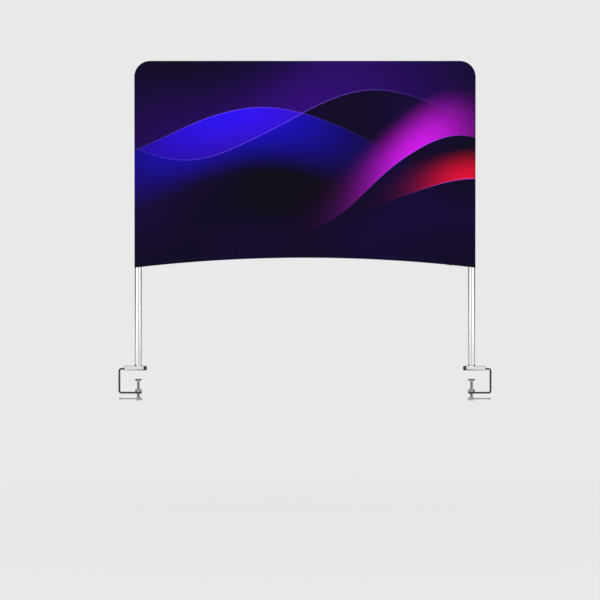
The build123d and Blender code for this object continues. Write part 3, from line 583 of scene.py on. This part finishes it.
def makePanel(name, face, node, material):
    rows = rowHeights()
    columnCount = round(2 * cornerX / skin["step"])
    columns = np.linspace(-cornerX, cornerX, columnCount + 1)
    wrap = skin["radius"] * math.pi / 2
    rings = list(np.linspace(0, frameTubes["bendRadius"], 6)[1:])
    rings += list(frameTubes["bendRadius"] + np.linspace(0, wrap, skin["wrapSteps"] + 1)[1:])
    turns = np.linspace(0, math.pi / 2, 27)
    points, faces, index = [], [], {}

    def vertex(key, x, z):
        if key not in index:
            index[key] = len(points)
            points.append(skinPoint(x, z, face))
        return index[key]

    def sidePoint(side, ring, row):
        reach = rings[ring - 1] if ring else 0.0
        x = side * (cornerX + reach)
        low = float(hemHeight(min(abs(x), poleX + skin["radius"])))
        return vertex(("side", side, ring, row), x, low + rows[row] * (bendTop - low))

    def corePoint(column, row):
        if column in (0, columnCount):
            return sidePoint(-1 if column == 0 else 1, 0, row)
        x = columns[column]
        low = float(hemHeight(x))
        return vertex(("core", column, row), x, low + rows[row] * (bendTop - low))

    def topPoint(column, ring):
        if ring == 0:
            return corePoint(column, len(rows) - 1)
        return vertex(("top", column, ring), columns[column], bendTop + rings[ring - 1])

    def cornerPoint(side, ring, turn):
        if ring == 0 or turn == 0:
            return sidePoint(side, ring, len(rows) - 1)
        if turn == len(turns) - 1:
            return topPoint(0 if side < 0 else columnCount, ring)
        angle = turns[turn]
        x = side * (cornerX + rings[ring - 1] * math.cos(angle))
        return vertex(("corner", side, ring, turn), x, bendTop + rings[ring - 1] * math.sin(angle))

    def quad(a, b, c, d, flip):
        corners = [a, b, c, d]
        if len(set(corners)) < 3:
            return
        corners = list(dict.fromkeys(corners))
        faces.append(corners[::-1] if flip else corners)

    back = face > 0
    for row in range(len(rows) - 1):
        for column in range(columnCount):
            quad(
                corePoint(column, row), corePoint(column + 1, row),
                corePoint(column + 1, row + 1), corePoint(column, row + 1), back,
            )
        for side in (-1, 1):
            for ring in range(len(rings)):
                quad(
                    sidePoint(side, ring, row), sidePoint(side, ring + 1, row),
                    sidePoint(side, ring + 1, row + 1), sidePoint(side, ring, row + 1),
                    back != (side < 0),
                )
    for ring in range(len(rings)):
        for column in range(columnCount):
            quad(
                topPoint(column, ring), topPoint(column + 1, ring),
                topPoint(column + 1, ring + 1), topPoint(column, ring + 1), back,
            )
        for side in (-1, 1):
            for turn in range(len(turns) - 1):
                quad(
                    cornerPoint(side, ring, turn), cornerPoint(side, ring + 1, turn),
                    cornerPoint(side, ring + 1, turn + 1), cornerPoint(side, ring, turn + 1),
                    back != (side < 0),
                )
    panel = makePiece(name, points, faces, "banner", material)
    thicken = panel.modifiers.new("thickness", "SOLIDIFY")
    thicken.thickness = skin["thickness"]
    thicken.offset = -1.0
    applyModifiers(panel)
    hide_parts(node)
    return panel


frontFabric = makePanel("frontFabric", -1, "front_panel", printFront)
backFabric = makePanel("backFabric", 1, "back_panel", printBack)
print("fabric panels made,", len(frontFabric.data.polygons), "faces each")

# Stitches along both rows of each hem
stitch = {"pitch": 0.0042, "length": 0.0031, "width": 0.0005, "stand": 0.00035, "endX": 0.822}


def makeStitches(name, face):
    points, faces = [], []
    span = 2 * stitch["endX"]
    count = int(span / stitch["pitch"])
    for row in skin["stitchRows"]:
        for number in range(count):
            x = -stitch["endX"] + (number + 0.5) * span / count
            ends = [
                x - stitch["length"] / 2, x - stitch["length"] / 3.2,
                x + stitch["length"] / 3.2, x + stitch["length"] / 2,
            ]
            first = len(points)
            heights = [float(hemHeight(end)) + row for end in ends]
            levels = [float(skinLevel(end, height)) for end, height in zip(ends, heights)]
            points.append((ends[0], face * (levels[0] - 0.0001), heights[0]))
            for station in (1, 2):
                for up, out in ((-1, 0), (0, 1), (1, 0), (0, -1)):
                    points.append((
                        ends[station],
                        face * (levels[station] + out * stitch["stand"]),
                        heights[station] + up * stitch["width"] / 2,
                    ))
            points.append((ends[3], face * (levels[3] - 0.0001), heights[3]))
            for corner in range(4):
                following = (corner + 1) % 4
                around = [
                    (first, first + 1 + corner, first + 1 + following),
                    (first + 1 + corner, first + 5 + corner, first + 5 + following, first + 1 + following),
                    (first + 5 + corner, first + 9, first + 5 + following),
                ]
                faces.extend(f if face < 0 else f[::-1] for f in around)
    return makePiece(name, points, faces, "banner", thread)


frontStitches = makeStitches("frontHemStitches", -1)
backStitches = makeStitches("backHemStitches", 1)
print("hem stitched")

# Zip teeth, two interlocked rows of nylon beads
zipTeeth = {"pitch": 0.0022, "lift": 0.0012, "height": 0.0022, "beadLength": 0.0016}


def makeZipTeeth():
    points, faces = [], []
    halfAngle = math.asin(hem["zipHalfSpan"] / hem["radius"]) - 0.008 / hem["radius"]
    count = int(2 * halfAngle * hem["radius"] / zipTeeth["pitch"])
    middle = hem["radius"] + zipTeeth["lift"] + zipTeeth["height"] / 2
    for face in (-1, 1):
        for number in range(count):
            shift = 0.0 if face < 0 else 0.5
            angle = -halfAngle + (number + 0.25 + shift) * 2 * halfAngle / count
            first = len(points)
            for along in (-1, 0, 1):
                size = 1.0 if along == 0 else 0.62
                for corner in range(8):
                    turn = corner * math.pi / 4
                    acrossY = face * (0.00078 + 0.00072 * size * math.cos(turn))
                    lift = middle + 0.0011 * size * math.sin(turn)
                    here = angle + along * zipTeeth["beadLength"] / 2 / hem["radius"]
                    points.append((lift * math.sin(here), acrossY, hem["centerHeight"] + lift * math.cos(here)))
            for ring in (0, 1):
                for corner in range(8):
                    following = (corner + 1) % 8
                    a, b = first + ring * 8 + corner, first + ring * 8 + following
                    around = (a, b, b + 8, a + 8)
                    faces.append(around[::-1] if face > 0 else around)
            start = tuple(range(first, first + 8))
            end = tuple(range(first + 16, first + 24))
            faces.append(start if face > 0 else start[::-1])
            faces.append(end[::-1] if face > 0 else end)
    return makePiece("zipTeeth", points, faces, "banner", zipNylon)


teeth = makeZipTeeth()
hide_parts("zip_coil")
print("zip teeth made")

# Clamp screws with their rolled thread
screw = {
    "radius": 0.007, "core": 0.0060, "pitch": 0.002, "tipRadius": 0.005, "neckRadius": 0.0035,
    "shankTop": -0.0556, "shankBottom": -0.1322, "neckTop": -0.0523, "tipTop": -0.0481,
    "around": 40, "perTurn": 8,
}


# Outline of a rounded trapezoid thread, as a share of one turn
def threadRadius(turns):
    share = turns % 1.0
    wave = 2 * abs(share - 0.5)
    depth = min(1.0, max(0.0, (wave - 0.18) / 0.64))
    return screw["radius"] - (screw["radius"] - screw["core"]) * (1 - depth)


def makeScrew(name, side, node):
    x = side * poleX
    length = screw["shankTop"] - screw["shankBottom"]
    stepCount = int(length / screw["pitch"] * screw["perTurn"])
    rings = [
        (screw["tipTop"], screw["tipRadius"] - 0.0015, False),
        (screw["tipTop"] - 0.0015, screw["tipRadius"], False),
        (screw["neckTop"], screw["tipRadius"], False),
        (screw["neckTop"], screw["neckRadius"], False),
        (screw["shankTop"] + 0.0008, screw["neckRadius"], False),
        (screw["shankTop"], screw["core"] - 0.0003, False),
    ]
    for step in range(1, stepCount + 1):
        rings.append((screw["shankTop"] - length * step / stepCount, None, True))
    points, faces = [], []
    points.append((x, 0, screw["tipTop"]))
    around = screw["around"]
    for height, radius, threaded in rings:
        for corner in range(around):
            angle = corner * 2 * math.pi / around
            here = radius
            if threaded:
                down = screw["shankTop"] - height
                turns = down / screw["pitch"] + corner / around
                lead = min(1.0, down / 0.002) * min(1.0, (length - down) / 0.0015)
                low = screw["core"] - 0.0003 * (1 - lead)
                here = low + (threadRadius(turns) - low) * lead
            points.append((x + here * math.cos(angle), here * math.sin(angle), height))
    for corner in range(around):
        faces.append((0, 1 + corner, 1 + (corner + 1) % around))
    for ring in range(len(rings) - 1):
        base = 1 + ring * around
        for corner in range(around):
            following = (corner + 1) % around
            faces.append((base + corner, base + around + corner, base + around + following, base + following))
    last = 1 + (len(rings) - 1) * around
    faces.append(tuple(last + corner for corner in reversed(range(around))))
    # The drilled head comes from the CAD piece
    head = cadNodes[node].data
    kept, keptFaces = {}, []
    for polygon in head.polygons:
        if max(head.vertices[v].co.z for v in polygon.vertices) < -0.1319:
            corners = []
            for v in polygon.vertices:
                spot = tuple(round(value, 7) for value in head.vertices[v].co)
                if spot not in kept:
                    kept[spot] = len(points)
                    points.append(spot)
                corners.append(kept[spot])
            if len(set(corners)) > 2:
                keptFaces.append(corners)
    faces.extend(keptFaces)
    body = "left_screw" if side < 0 else "right_screw"
    piece = makePiece(name, points, faces, body, zincSteel, smooth=False)
    piece.data.shade_smooth()
    piece.data.set_sharp_from_angle(angle=math.radians(38))
    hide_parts(node)
    return piece


for sideName, side in sides.items():
    makeScrew(f"{sideName}ThreadedScrew", side, f"{sideName}_clamp_screw")
print("clamp screws threaded")

# Leaf springs behind the snap buttons, one to each joint
leafSpring = {
    "offset": 0.030,         # from the joint to the spring's middle
    "backWall": 0.0138,
    "pressedShare": 0.822,   # of its depth, left at full press
    "sharpAngle": 35,
}
jointPlaces = {"poleHeight": 0.790, "shoulderHeight": 1.301, "topX": 0.6145}
tubeJoints = {
    "left_pole": ((-poleX, 0, jointPlaces["poleHeight"]), (0, 0, 1), (1, 0, 0)),
    "right_pole": ((poleX, 0, jointPlaces["poleHeight"]), (0, 0, 1), (-1, 0, 0)),
    "left_shoulder": ((-poleX, 0, jointPlaces["shoulderHeight"]), (0, 0, 1), (1, 0, 0)),
    "right_shoulder": ((poleX, 0, jointPlaces["shoulderHeight"]), (0, 0, 1), (-1, 0, 0)),
    "left_top": ((-jointPlaces["topX"], 0, frameTubes["topHeight"]), (1, 0, 0), (0, 0, -1)),
    "right_top": ((jointPlaces["topX"], 0, frameTubes["topHeight"]), (-1, 0, 0), (0, 0, -1)),
    "center_top": ((0, 0, frameTubes["topHeight"]), (1, 0, 0), (0, 0, -1)),
}


def makeSprings():
    source = cadNodes["button_springs"].data
    middles = {
        jointName: Vector(place) + Vector(along) * leafSpring["offset"]
        for jointName, (place, along, inward) in tubeJoints.items()
    }
    parts = {jointName: ([], [], {}) for jointName in tubeJoints}
    for polygon in source.polygons:
        nearest = min(middles, key=lambda jointName: (middles[jointName] - polygon.center).length)
        points, faces, kept = parts[nearest]
        corners = []
        for v in polygon.vertices:
            spot = tuple(round(value, 7) for value in source.vertices[v].co)
            if spot not in kept:
                kept[spot] = len(points)
                points.append(spot)
            corners.append(kept[spot])
        if len(set(corners)) > 2:
            faces.append(corners)
    for jointName, (points, faces, kept) in parts.items():
        spring = makePiece(f"{jointName}LeafSpring", points, faces, "banner", pinSteel)
        spring.data.set_sharp_from_angle(angle=math.radians(leafSpring["sharpAngle"]))
        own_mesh(spring)
    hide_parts("button_springs")


makeSprings()
print("leaf springs made")

# What each sheet measures when it lies flat
panelCut = {
    "wrap": 0.0295,          # a quarter turn round a tube
    "hemAllowance": 0.010,
}
panelCut["width"] = 2 * (poleX + panelCut["wrap"])
panelCut["length"] = frameTubes["topHeight"] + panelCut["wrap"] - hem["cornerHeight"] + panelCut["hemAllowance"]

# Floor, light and camera
studio = {
    "background": 0.815,
    "floorHeight": -0.737,
    "floorHalf": 30.0,
    "worldLight": 0.62,
    "darkLevel": 0.015,          # of the room beside the softboxes, in reflections
    "darkFrom": (-0.30, -0.02),  # how far behind the object the dark begins, as a direction
    "darkTo": (0.62, 0.90),
}


# 1 for what the camera, a polished face or clear material sees
def shownToCamera(tree):
    path = put(tree, "ShaderNodeLightPath")
    seen = calc(tree, "MAXIMUM", path.outputs["Is Camera Ray"], path.outputs["Is Glossy Ray"])
    return calc(tree, "MAXIMUM", seen, path.outputs["Is Transmission Ray"])


def makeFloor():
    half = studio["floorHalf"]
    points = [(-half, -half, studio["floorHeight"]), (half, -half, studio["floorHeight"])]
    points += [(half, half, studio["floorHeight"]), (-half, half, studio["floorHeight"])]
    mesh = bpy.data.meshes.new("paperFloor")
    mesh.from_pydata(points, [], [(0, 1, 2, 3)])
    floor = bpy.data.objects.new("paperFloor", mesh)
    bpy.context.collection.objects.link(floor)
    material, tree, shader = startMaterial("paleFloorPaper")
    fiber = noise(tree, objectPoint(tree), 60.0, 4.0)
    pale, paler = rgb(0.80, 0.80, 0.80), rgb(0.82, 0.82, 0.82)
    feed(tree, shader, "Base Color", blendColor(tree, spread(tree, fiber, 0.3, 0.7), pale, paler))
    feed(tree, shader, "Roughness", 0.9)
    feed(tree, shader, "Specular IOR Level", 0.1)
    level = studio["background"]
    glow = put(tree, "ShaderNodeEmission", {"Color": rgb(level, level, level), "Strength": 1.0})
    # Far from the object the paper runs into the background
    away = put(tree, "ShaderNodeVectorMath", {0: objectPoint(tree)}, operation="LENGTH").outputs["Value"]
    share = calc(tree, "MULTIPLY", shownToCamera(tree), spread(tree, away, 1.2, 3.6, 0.88, 1.0, smooth=True))
    mixed = put(tree, "ShaderNodeMixShader", {0: share, 1: shader.outputs[0], 2: glow.outputs[0]})
    feed(tree, tree.nodes["Material Output"], "Surface", mixed.outputs[0])
    mesh.materials.append(material)
    return floor


makeFloor()


def makeWorld():
    # Even light, and for reflections the background with the dark of the room beside the softboxes
    world = bpy.data.worlds.new("softStudio")
    bpy.context.scene.world = world
    world.use_nodes = True
    tree = world.node_tree
    tree.nodes.clear()
    path = put(tree, "ShaderNodeLightPath")
    place = put(tree, "ShaderNodeTexCoord").outputs["Generated"]
    depth = put(tree, "ShaderNodeSeparateXYZ", {"Vector": place}).outputs["Y"]
    rising = spread(tree, depth, studio["darkFrom"][0], studio["darkFrom"][1], smooth=True)
    falling = spread(tree, depth, studio["darkTo"][0], studio["darkTo"][1], 1.0, 0.0, smooth=True)
    band = calc(tree, "MULTIPLY", calc(tree, "MULTIPLY", rising, falling), path.outputs["Is Glossy Ray"])
    room = calc(tree, "MULTIPLY_ADD", band, studio["darkLevel"] - studio["background"], studio["background"])
    seenSky = put(tree, "ShaderNodeBackground", {"Color": room, "Strength": 1.0})
    lightSky = put(tree, "ShaderNodeBackground", {"Color": rgb(1.0, 1.0, 1.0), "Strength": studio["worldLight"]})
    skyMix = put(tree, "ShaderNodeMixShader", {0: shownToCamera(tree), 1: lightSky.outputs[0], 2: seenSky.outputs[0]})
    put(tree, "ShaderNodeOutputWorld", {"Surface": skyMix.outputs[0]})


makeWorld()

softLights = {
    "leftSoftbox": {"place": (-3.5, -2.7, 1.6), "target": (0, 0, 0.8), "size": (3.2, 3.4), "power": 38.0},
    "rightSoftbox": {"place": (3.5, -2.7, 1.6), "target": (0, 0, 0.8), "size": (3.2, 3.4), "power": 34.0},
    "topSoftbox": {"place": (0.0, -0.8, 4.2), "target": (0, 0, 0.9), "size": (3.4, 2.0), "power": 20.0},
    "backSoftbox": {"place": (0.6, 4.4, 2.2), "target": (0, 0, 0.9), "size": (3.6, 2.6), "power": 34.0},
}
for lightName, values in softLights.items():
    data = bpy.data.lights.new(lightName, "AREA")
    data.shape = "RECTANGLE"
    data.size, data.size_y = values["size"]
    data.energy = values["power"]
    lamp = bpy.data.objects.new(lightName, data)
    lamp.location = values["place"]
    aim = Vector(values["target"]) - Vector(values["place"])
    lamp.rotation_euler = aim.to_track_quat("-Z", "Y").to_euler()
    bpy.context.collection.objects.link(lamp)
print("studio lit")

cameraPlace = {"eye": (0.0, -16.1, 0.727), "target": (-0.0245, 0.0, 0.348), "lens": 195.2, "sensor": 36.0}
cameraData = bpy.data.cameras.new("viewCamera")
cameraData.lens = cameraPlace["lens"]
cameraData.sensor_width = cameraPlace["sensor"]
cameraData.clip_end = 60.0
viewCamera = bpy.data.objects.new("viewCamera", cameraData)
viewCamera.location = cameraPlace["eye"]
sight = Vector(cameraPlace["target"]) - Vector(cameraPlace["eye"])
viewCamera.rotation_euler = sight.to_track_quat("-Z", "Y").to_euler()
bpy.context.collection.objects.link(viewCamera)
bpy.context.scene.camera = viewCamera
bpy.context.scene.view_settings.view_transform = "Standard"
